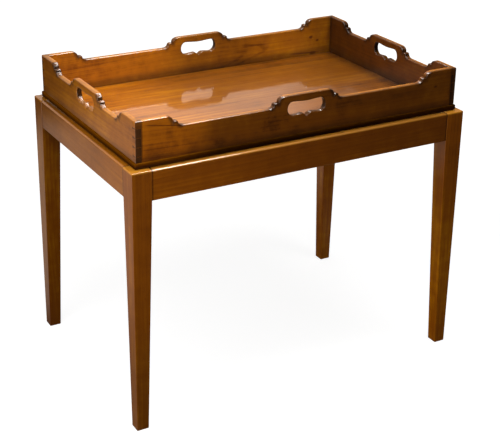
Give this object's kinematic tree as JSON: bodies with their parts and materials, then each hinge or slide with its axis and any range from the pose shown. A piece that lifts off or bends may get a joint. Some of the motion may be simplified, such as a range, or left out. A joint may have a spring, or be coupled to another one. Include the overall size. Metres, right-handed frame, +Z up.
{
  "type": "tray on stand",
  "caption": "Lift-off wooden tray with a shaped gallery and pierced hand holes, resting on a stand with tapered square legs.",
  "frame": {"origin": "on the floor, under the middle of the stand", "axes": "+X along the long side, to the right seen from the front; the front faces -Y; +Z up"},
  "size_m": [0.8, 0.526, 0.6753],
  "materials": {
    "stand_wood": "dark brown varnish, glossy, mahogany look",
    "bearer_wood": "plain unvarnished wood",
    "gallery_wood": "brown varnish, glossy, rubbed pale on its edges",
    "floor_wood": "golden brown varnish, glossy, grain along the tray",
    "moulding_wood": "dark brown varnish",
    "screw_steel": "plain steel, slotted",
    "screw_brass": "dull brass, slotted"
  },
  "bodies": {
    "stand": {"leg_front_left": "stand_wood", "leg_front_right": "stand_wood", "leg_back_right": "stand_wood", "leg_back_left": "stand_wood", "apron_front": "stand_wood", "tray_bearer_front": "bearer_wood", "bearer_screw_front_1": "screw_steel", "bearer_screw_front_2": "screw_steel", "bearer_screw_front_3": "screw_steel", "apron_right": "stand_wood", "tray_bearer_right": "bearer_wood", "bearer_screw_right_1": "screw_steel", "bearer_screw_right_2": "screw_steel", "apron_back": "stand_wood", "tray_bearer_back": "bearer_wood", "bearer_screw_back_1": "screw_steel", "bearer_screw_back_2": "screw_steel", "bearer_screw_back_3": "screw_steel", "apron_left": "stand_wood", "tray_bearer_left": "bearer_wood", "bearer_screw_left_1": "screw_steel", "bearer_screw_left_2": "screw_steel"},
    "tray": {"floor_screw_front_1": "screw_brass", "floor_screw_front_2": "screw_brass", "floor_screw_front_3": "screw_brass", "tray_wall_front": "gallery_wood", "base_moulding_front": "moulding_wood", "floor_screw_right_1": "screw_brass", "floor_screw_right_2": "screw_brass", "tray_wall_right": "gallery_wood", "base_moulding_right": "moulding_wood", "floor_screw_back_1": "screw_brass", "floor_screw_back_2": "screw_brass", "floor_screw_back_3": "screw_brass", "tray_wall_back": "gallery_wood", "base_moulding_back": "moulding_wood", "floor_screw_left_1": "screw_brass", "floor_screw_left_2": "screw_brass", "tray_wall_left": "gallery_wood", "base_moulding_left": "moulding_wood", "tray_floor_board_front": "floor_wood", "tray_floor_board_back": "floor_wood"}
  },
  "joints": [
    {"name": "tray_lift", "type": "slide", "parent": "stand", "child": "tray", "axis": [0, 0, 1], "range_m": [0, 0.15]}
  ]
}
